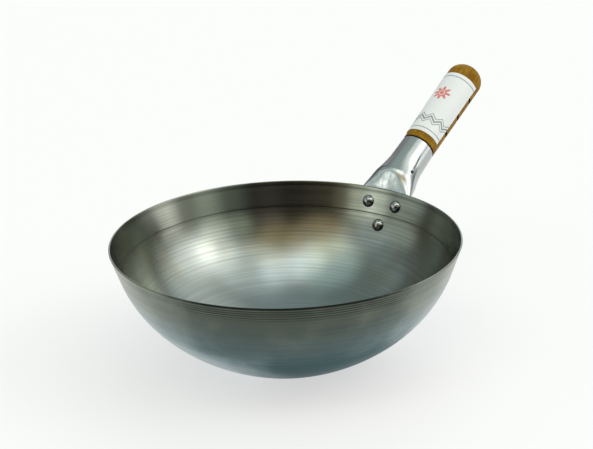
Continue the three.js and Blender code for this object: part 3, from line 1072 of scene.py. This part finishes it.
@dataclass
class Socket:
    """The tube that holds the grip, pressed flat below into a tongue on the bowl's wall."""

    handle: HandleFrame
    radius: float = 16.4 * MM
    base_radius: float = 18.2 * MM
    spread: float = 45 * MM
    press_start: float = 4 * MM
    press_end: float = 22 * MM
    press_blend: float = 0.16
    tongue_edge: float = 11 * MM
    segments: int = 96
    tongue_steps: int = 16
    spread_steps: int = 60
    straight_steps: int = 8
    valley_depth: float = 0.6 * MM
    valley_rise: float = 6 * MM
    valley_fall: tuple[float, float] = (12 * MM, 24 * MM)
    valley_least: float = 0.3

    def valley(self, distance: float, side: float) -> float:
        """Depth of the press's valley along the middle of the flat.

        Args:
            distance: Along the spine, from the bend.
            side: Distance to the side of the middle.

        Returns:
            Depth below the plain pressed tube.
        """
        reach = self.half_width(distance) - self.half_height(distance) + WELD
        fade = smooth_step(distance, 0, self.valley_rise) * (1 - smooth_step(distance, *self.valley_fall))
        return self.valley_depth * fade * max(0.0, 1 - 2 * abs(side) / reach)

    def whole_radius(self, distance: float) -> float:
        """Radius of the tube before it was pressed."""
        return mix(self.base_radius, self.radius, max(0.0, distance) / self.handle.mouth)

    def roundness(self, distance: float) -> float:
        """How round the tube is: zero where its two layers lie flat, one where it has its whole height."""
        ramp = (distance - self.press_start) / (self.press_end - self.press_start)
        return eased_start(ramp, self.press_blend) - eased_start(ramp - 1, self.press_blend)

    def half_height(self, distance: float) -> float:
        """Half the height of the section: one sheet where it lies flat, the radius where it is whole."""
        return mix(self.handle.sheet, self.whole_radius(distance), self.roundness(distance))

    def spreading(self, distance: float) -> float:
        """How far the sides are spread: one where the girth is laid flat, zero up the tube."""
        return 1 - smooth_step(distance, 0, self.spread)

    def half_width(self, distance: float) -> float:
        """Half the width of the section: the girth laid flat at the bend, the radius up the tube."""
        radius = self.whole_radius(distance)
        return radius + self.spreading(distance) * (math.pi / 2 - 1) * (radius - self.handle.sheet)

    def girth_point(self, share: float, flat: float, radius: float) -> tuple[float, float]:
        """Point of two half rounds joined by flats.

        Args:
            share: Share of the way round, from one side over the top.
            flat: Half the flat.
            radius: Radius of the half rounds.

        Returns:
            Distance to the side and distance up.
        """
        quarter = math.pi / 2 * radius
        side = 1 if share < 0.5 else -1
        run = (share % 0.5) * (4 * quarter + 4 * flat)
        if run < quarter:
            return side * (flat + radius * math.cos(run / radius)), side * radius * math.sin(run / radius)
        if run < quarter + 2 * flat:
            return side * (flat - (run - quarter)), side * radius
        angle = (run - 2 * flat) / radius
        return side * (-flat + radius * math.cos(angle)), side * radius * math.sin(angle)

    def section(self, distance: float, share: float, depth: float) -> tuple[float, float]:
        """Point of the section: an oval up the tube, flats with round edges near the bowl.

        Args:
            distance: Along the spine.
            share: Share of the way round, from one side over the top.
            depth: Distance in from the outside.

        Returns:
            Distance to the side and distance up.
        """
        width, height = self.half_width(distance) - depth, self.half_height(distance) - depth
        oval = (width * math.cos(math.tau * share), height * math.sin(math.tau * share))
        pressed = self.girth_point(share, width - height, height)
        side, up = (mix(hard, soft, self.roundness(distance)) for hard, soft in zip(pressed, oval))
        if up > 0:
            up = max(self.valley_least * up, up - self.valley(distance, side))
        return side, up

    def place(self, distance: float, share: float, depth: float, narrowing: float) -> Vector:
        """Point of the socket's skin.

        Args:
            distance: Along the spine.
            share: Share of the way round.
            depth: Distance in from the outside.
            narrowing: Share of the width that is left, for the tongue's round tip.

        Returns:
            The point, wrapped round the bowl's axis where the socket lies on the wall.
        """
        spine = self.handle.spine(distance)
        wrap = self.spreading(distance)
        side, up = self.section(distance, share, depth)
        radius = spine.radius - up * math.sin(spine.slope)
        height = spine.height + up * math.cos(spine.slope)
        across = narrowing * side
        if wrap <= 0:
            return Vector((radius, across, height))
        bend = wrap * across / radius
        return Vector((radius - radius / wrap * (1 - math.cos(bend)), radius / wrap * math.sin(bend), height))

    def stations(self) -> list[tuple[float, float, float]]:
        """Rings of the skin from the tongue's tip to the mouth and back inside.

        Returns:
            Distance, depth and narrowing of each ring.
        """
        handle = self.handle
        upper = -handle.tail_radius
        tip = handle.bend_run - handle.wall.run_at(handle.lower_drop) - self.tongue_edge
        rings = []
        for i in range(self.tongue_steps + 1):
            angle = math.pi / 2 * i / self.tongue_steps
            rings.append((mix(upper, tip, math.cos(angle)), 0.0, math.sin(angle)))
        outside = [mix(0, self.spread, i / self.spread_steps) for i in range(self.spread_steps + 1)]
        for i in range(1, self.straight_steps + 1):
            outside.append(mix(self.spread, handle.mouth, i / self.straight_steps))
        rings += [(distance, 0.0, 1.0) for distance in outside]
        hollow = [distance for distance in outside if self.half_height(distance) > 2 * handle.sheet]
        rings += [(distance, handle.sheet, 1.0) for distance in reversed(hollow)]
        return rings

    def build(self) -> Object:
        """Bends a grid onto the socket's skin and closes it.

        Returns:
            The socket's object.
        """
        rings = self.stations()
        mesh = bmesh.new()
        bmesh.ops.create_grid(mesh, x_segments=len(rings) - 1, y_segments=self.segments, size=0.5)
        for point in mesh.verts:
            ring = rings[round((point.co.x + 0.5) * (len(rings) - 1))]
            point.co = self.place(ring[0], (point.co.y + 0.5) % 1, ring[1], ring[2])
        bmesh.ops.remove_doubles(mesh, verts=mesh.verts, dist=WELD)
        bmesh.ops.holes_fill(mesh, edges=mesh.edges, sides=0)
        finish = BrightSheet("bright_sheet_steel", mouth=self.handle.mouth_centre, tilt=self.handle.tilt)
        return made_piece("pressed_socket", mesh, [finish], "handle_socket")


@dataclass
class Rivet:
    """A dome-head rivet through bowl and tongue, its head dented by the hammer that held it."""

    handle: HandleFrame
    name: str
    drop: float
    across: float
    bowl_sheet: float = 1.5 * MM
    head_radius: float = 5.8 * MM
    head_height: float = 4.3 * MM
    shank_radius: float = 3 * MM
    tail_height: float = 1.6 * MM
    dome_steps: int = 14
    segments: int = 40
    dent_depth: float = 0.18 * MM
    dent_size: float = 3.2 * MM

    def dome(self, radius: float, height: float) -> list[tuple[float, float]]:
        """Section of a spherical cap.

        Args:
            radius: Radius of its edge.
            height: Height of its top.

        Returns:
            Radius and height of each point, from the edge to the axis.
        """
        ball = (radius ** 2 + height ** 2) / (2 * height)
        spread = math.asin(min(1.0, radius / ball))
        angles = [spread * (1 - i / self.dome_steps) for i in range(self.dome_steps + 1)]
        return [(ball * math.sin(angle), height - ball * (1 - math.cos(angle))) for angle in angles]

    def matrix(self) -> Matrix:
        """Frame of the rivet: origin on the outside wall, Z square to it and into the bowl.

        Returns:
            The frame.
        """
        wall = self.handle.wall.at(self.handle.wall.run_at(self.drop))
        aside = Matrix.Rotation(math.asin(self.across / wall.radius), 4, "Z")
        lean = Matrix.Rotation(-wall.slope, 4, "Y")
        return aside @ Matrix.Translation((wall.radius, 0, wall.height)) @ lean

    def build(self) -> Object:
        """Spins the rivet, dents its head and sets it in the wall.

        Returns:
            The rivet's object.
        """
        handle = self.handle
        hollow = self.head_radius ** 2 / handle.wall.rim_radius
        head = self.bowl_sheet + handle.seat_gap + hollow
        tail = -2 * (handle.seat_gap + handle.sheet)
        section = [(r, tail - z) for r, z in reversed(self.dome(handle.tail_radius, self.tail_height))]
        section += [(self.shank_radius, tail), (self.shank_radius, head)]
        section += [(r, head + z) for r, z in self.dome(self.head_radius, self.head_height)]
        mesh = bmesh.new()
        spun(mesh, [Vector((r, 0, z)) for r, z in section], self.segments)
        bmesh.ops.remove_doubles(mesh, verts=mesh.verts, dist=WELD)
        matrix = self.matrix()
        for point in mesh.verts:
            place = matrix @ point.co
            if point.co.z > head + WELD:
                dent = noise.noise(place / self.dent_size)
                point.co.z -= self.dent_depth * (1 + dent)
        bmesh.ops.transform(mesh, matrix=matrix, verts=mesh.verts)
        finish = HammeredSteel(f"hammered_steel_{self.name}")
        return made_piece(f"dome_{self.name}", mesh, [finish], self.name)


@dataclass
class Grip:
    """The turned wooden grip, with its tang in the socket and three rings burnt into it."""

    handle: HandleFrame
    socket: Socket
    length: float = 109 * MM
    neck_radius: float = 16.3 * MM
    end_radius: float = 17.6 * MM
    dome_length: float = 14.5 * MM
    bevel: float = 0.8 * MM
    tang_length: float = 42 * MM
    hole_gap: float = 0.3 * MM
    ring_count: int = 3
    ring_width: float = 3.4 * MM
    ring_depth: float = 1.2 * MM
    ring_first: float = 27 * MM
    ring_last: float = 20.5 * MM
    ring_scorch: float = 0.15
    shoulder_shade: tuple[float, float] = (1.0 * MM, 2.4 * MM)
    segments: int = 72
    body_step: float = 0.4 * MM
    dome_steps: int = 20

    @property
    def body(self) -> float:
        """Length from the shoulder to the rounded end."""
        return self.length - self.dome_length

    def radius_at(self, height: float) -> float:
        """Radius of the wood at a height above its shoulder, before its rings."""
        return mix(self.neck_radius, self.end_radius, height / self.body)

    def ring(self, height: float) -> float:
        """Share of a burnt ring's depth at a height above the shoulder.

        Args:
            height: Distance from the shoulder.

        Returns:
            One in the middle of a ring, and zero between the rings.
        """
        pitch = (self.body - self.ring_first - self.ring_last) / (self.ring_count - 1)
        nearest = min(self.ring_count - 1, max(0, round((height - self.ring_first) / pitch)))
        off = abs(height - self.ring_first - nearest * pitch)
        return max(0.0, 1 - off / (self.ring_width / 2))

    def outline(self) -> list[tuple[float, float, float]]:
        """Section about the tube's axis, with the socket's mouth at height zero.

        Returns:
            Radius, height and dark share of each point, from the tang's end to the round end: burnt rings,
            and painted shadow at the shoulder.
        """
        gap = self.handle.seat_gap
        tang_radius = self.socket.radius - self.handle.sheet - self.hole_gap
        section = [
            (0.0, -self.tang_length, 0.0),
            (tang_radius, -self.tang_length, 0.0),
            # The tang's top and the shoulder's face are painted shadow.
            (tang_radius, gap, 1.0),
            (self.neck_radius - self.bevel, gap, 1.0),
        ]
        steps = round(self.body / self.body_step)
        first = math.ceil(self.bevel / self.body_step)
        for i in range(first, steps + 1):
            height = self.body * i / steps
            ring = self.ring(height)
            # Painted shadow on the first millimetres above the shoulder, in the gap at the socket's mouth.
            shoulder = 1 - smooth_step(height, *self.shoulder_shade)
            burn_and_shade = max(smooth_step(ring, 0, self.ring_scorch), shoulder)
            section.append((self.radius_at(height) - self.ring_depth * ring, gap + height, burn_and_shade))
        for i in range(1, self.dome_steps + 1):
            angle = math.pi / 2 * i / self.dome_steps
            height = self.body + self.dome_length * math.sin(angle)
            section.append((self.end_radius * math.cos(angle), gap + height, 0.0))
        return section

    def build(self) -> Object:
        """Spins the section and sets it in the socket.

        Returns:
            The grip's object.
        """
        section = self.outline()
        mesh = bmesh.new()
        places = [Vector((radius, 0, height)) for radius, height, _ in section]
        spun(mesh, places, self.segments, {"burn_and_shade": [burn_and_shade for _, _, burn_and_shade in section]})
        bmesh.ops.transform(mesh, matrix=self.handle.matrix, verts=mesh.verts)
        finish = VarnishedWood("varnished_wood", mouth=self.handle.mouth_centre, tilt=self.handle.tilt)
        return made_piece("turned_grip", mesh, [finish], "wooden_grip")


@dataclass
class Nail:
    """The small nail through socket and tang."""

    handle: HandleFrame
    socket: Socket
    inset: float = 35.5 * MM
    angle: float = math.radians(61.5)
    length: float = 11 * MM
    radius: float = 0.9 * MM
    head_radius: float = 1.6 * MM
    head_height: float = 0.8 * MM
    segments: int = 20
    dome_steps: int = 6

    def build(self) -> Object:
        """Spins the nail and drives it in.

        Returns:
            The nail's object.
        """
        distance = self.handle.mouth - self.inset
        outward = Vector((-math.cos(self.angle), -math.sin(self.angle), 0))
        side, up = self.socket.section(distance, 0.25 + self.angle / math.tau, 0.0)
        origin = Vector((-up, side, -self.inset))
        gap = self.handle.seat_gap
        section = [(0.0, -self.length), (self.radius, 2 * self.radius - self.length), (self.radius, gap)]
        for i in range(self.dome_steps + 1):
            angle = math.pi / 2 * i / self.dome_steps
            section.append((self.head_radius * math.cos(angle), gap + self.head_height * math.sin(angle)))
        mesh = bmesh.new()
        spun(mesh, [Vector((r, 0, z)) for r, z in section], self.segments)
        turn = outward.to_track_quat("Z", "X").to_matrix().to_4x4()
        bmesh.ops.transform(
            mesh, matrix=self.handle.matrix @ Matrix.Translation(origin) @ turn, verts=mesh.verts,
        )
        finish = HammeredSteel("nail_steel", light="#4a4d4b", dark="#2a2c2b")
        return made_piece("driven_nail", mesh, [finish], "grip_nail")


@dataclass
class Label:
    """The paper sleeve over the top of the grip."""

    grip: Grip
    start: float = 9 * MM
    margin: float = 7.5 * MM
    span: float = math.radians(182)
    sheet: float = 0.25 * MM
    steps_round: int = 72
    steps_along: int = 48

    def build(self) -> Object:
        """Bends a grid round the grip and gives it the paper's thickness.

        Returns:
            The sleeve's object.
        """
        handle = self.grip.handle
        length = self.grip.body - self.start - self.margin
        mesh = bmesh.new()
        bmesh.ops.create_grid(mesh, x_segments=self.steps_round, y_segments=self.steps_along, size=0.5)
        prints = mesh.loops.layers.uv.new("print_mm")
        width = self.span * self.grip.neck_radius
        for face in mesh.faces:
            for loop in face.loops:
                flat = loop.vert.co
                loop[prints].uv = (flat.x * width / MM, (flat.y + 0.5) * length / MM)
        for point in mesh.verts:
            angle = math.pi + self.span * point.co.x
            height = self.start + (point.co.y + 0.5) * length
            radius = self.grip.radius_at(height) + handle.seat_gap
            point.co = (radius * math.cos(angle), radius * math.sin(angle), handle.seat_gap + height)
        bmesh.ops.recalc_face_normals(mesh, faces=mesh.faces)
        level = Vector((1, 1, 0))
        if sum(face.normal.dot(face.calc_center_median() * level) for face in mesh.faces) < 0:
            bmesh.ops.reverse_faces(mesh, faces=mesh.faces)
        bmesh.ops.solidify(mesh, geom=mesh.faces[:], thickness=-self.sheet)
        bmesh.ops.transform(mesh, matrix=handle.matrix, verts=mesh.verts)
        return made_piece("label_sleeve", mesh, [CoatedPaper("coated_paper")], "paper_label")


@dataclass
class PhotoCamera:
    """Camera at the photograph's view."""

    location: Vector = field(default_factory=lambda: Vector((-1.00824, -0.80176, 0.60719)))
    heading: float = math.radians(38.05)
    elevation: float = math.radians(20.640)
    roll: float = math.radians(-1.659)
    lens: float = 97.13
    sensor: float = 36.0

    def build(self) -> None:
        """Makes the camera and sets it as the scene's."""
        data = bpy.data.cameras.new("photo_camera")
        data.lens = self.lens
        data.sensor_width = self.sensor
        camera = bpy.data.objects.new("photo_camera", data)
        turn = Matrix.Rotation(self.heading - math.pi / 2, 4, "Z")
        turn @= Matrix.Rotation(math.pi / 2 - self.elevation, 4, "X")
        turn @= Matrix.Rotation(self.roll, 4, "Z")
        camera.matrix_world = Matrix.Translation(self.location) @ turn
        bpy.context.scene.collection.objects.link(camera)
        bpy.context.scene.camera = camera


@dataclass(frozen=True)
class Card:
    """A round soft patch of the surroundings, placed and sized in degrees."""

    azimuth: float
    elevation: float
    inner: float
    outer: float
    strength: float
    colour: str = "#ffffff"

    @property
    def direction(self) -> Vector:
        """Way from the wok to the middle of the card."""
        a, e = math.radians(self.azimuth), math.radians(self.elevation)
        return Vector((math.sin(a) * math.cos(e), -math.cos(a) * math.cos(e), math.sin(e)))


@dataclass
class Studio:
    """Pale floor, and soft cards of light all round in plain surroundings."""

    floor_radius: float = 9.0
    floor_drop: float = 0.3 * MM
    ambient: float = 0.02
    cards: Sequence[Card] = (
        Card(124, 35, 10, 33, 1.25, "#f6f9ff"),
        Card(128, 12, 8, 30, 0.38, "#fdf7ff"),
        Card(128, 68, 8, 30, 0.59, "#ebfffc"),
        Card(95, 36, 10, 34, 0.42, "#f3faff"),
        Card(18, 40, 6, 22, 1.45),
        Card(22, 38.5, 3, 10, 2.2),
        Card(42, 26, 8, 34, 0.42),
        Card(38, 34, 5, 20, 1.05),
        Card(32, 10, 2, 7, 1.30),
        Card(60, 42, 8, 30, 0.92, "#fffff4"),
        Card(17, 13, 3, 14, 0.23, "#f0fff0"),
        Card(2, 10, 3, 15, 0.26, "#f2fff0"),
        Card(-85, 46, 8, 26, 0.76, "#ffe4b8"),
        Card(-45, 74, 5, 17, 1.40, "#fbfeff"),
        Card(-45, 47, 6, 17, 0.42, "#ffdd9a"),
        Card(-30, 54, 5, 20, 0.28, "#ffe9ae"),
        Card(4, 64, 8, 26, 1.51, "#fafffc"),
        Card(-112, 60, 8, 26, 1.22, "#ecfff8"),
        Card(-125, 26, 4, 16, 0.72, "#eefdff"),
        Card(-120, 9, 3, 11, 1.49, "#f8fff9"),
        Card(-145, 10, 4, 20, 0.86, "#f2fffb"),
        Card(-172, 20, 6, 24, 0.28, "#eef8ff"),
        Card(-170, 45, 6, 24, 0.43, "#effff7"),
        Card(-78, 67, 5, 17, 1.25),
        Card(-14, 30, 4, 14, 0.72, "#f0ffee"),
        Card(5, 26, 4, 14, 1.11, "#f4fff8"),
        Card(-40, 32, 4, 14, 0.20, "#ffeee9"),
        Card(-140, 33, 5, 16, 0.48, "#e6f8ff"),
        Card(-107, 14, 3, 12, 1.12, "#fcfff7"),
        Card(-105, 24, 4, 14, 0.30, "#effff7"),
        Card(-122, 2, 2, 9, 1.32, "#f9fffa"),
        Card(16, 51, 3, 12, 0.28, "#ffe0d4"),
        Card(58, 8, 3, 12, 0.23, "#deeeff"),
        Card(-95, 12, 3, 12, 0.26, "#fff3cd"),
        Card(-112, 40, 4, 16, 0.42, "#f0f9ff"),
        Card(-114, 11, 2, 7, 0.8),
        Card(34, 26, 3, 11, 0.40),
        Card(42, 5, 3, 12, 1.60),
    )

    def lay_floor(self) -> None:
        """Makes the floor."""
        mesh = bmesh.new()
        bmesh.ops.create_circle(mesh, cap_ends=True, segments=96, radius=self.floor_radius)
        bmesh.ops.translate(mesh, verts=mesh.verts, vec=(0, 0, -self.floor_drop))
        data = bpy.data.meshes.new("floor")
        mesh.to_mesh(data)
        mesh.free()
        data.materials.append(PalePaint("pale_floor_paint").material())
        floor = bpy.data.objects.new("floor", data)
        bpy.context.scene.collection.objects.link(floor)

    def hang_cards(self) -> None:
        """Makes the world: an even low light with each card added to it by its direction."""
        world = bpy.data.worlds.new("studio")
        world.use_nodes = True
        tree = world.node_tree
        way = add_node(tree, "TexCoord").outputs["Generated"]
        total = add_node(tree, "CombineXYZ", {i: self.ambient for i in range(3)}).outputs[0]
        for card in self.cards:
            facing = add_node(
                tree, "VectorMath", {0: way, 1: card.direction}, operation="DOT_PRODUCT",
            ).outputs["Value"]
            start, end = (math.cos(math.radians(angle)) for angle in (card.outer, card.inner))
            edge = add_node(
                tree, "MapRange", {"Value": facing, 1: start, 2: end}, interpolation_type="SMOOTHSTEP",
            ).outputs[0]
            glow = Vector(linear(card.colour)[:3]) * card.strength
            lit = add_node(tree, "VectorMath", {0: glow, "Scale": edge}, operation="SCALE").outputs[0]
            total = add_node(tree, "VectorMath", {0: total, 1: lit}, operation="ADD").outputs[0]
        tree.links.new(total, tree.nodes["Background"].inputs["Color"])
        bpy.context.scene.world = world

    def build(self) -> None:
        """Makes the floor and the light."""
        self.lay_floor()
        self.hang_cards()
        bpy.context.scene.view_settings.view_transform = "Standard"


def main() -> None:
    """Builds the camera, the studio and the pieces."""
    logging.basicConfig(level=logging.INFO)
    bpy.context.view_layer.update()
    PhotoCamera().build()
    Studio().build()
    wall = BowlWall()
    handle = HandleFrame(wall)
    Bowl(wall).build()
    socket = Socket(handle)
    socket.build()
    for name, drop, across in (
        ("rivet_upper_left", handle.upper_drop, handle.rivet_spread / 2),
        ("rivet_upper_right", handle.upper_drop, -handle.rivet_spread / 2),
        ("rivet_lower", handle.lower_drop, 0.0),
    ):
        Rivet(handle, name, drop, across).build()
    grip = Grip(handle, socket)
    grip.build()
    Nail(handle, socket).build()
    Label(grip).build()


if __name__ == "__main__":
    main()
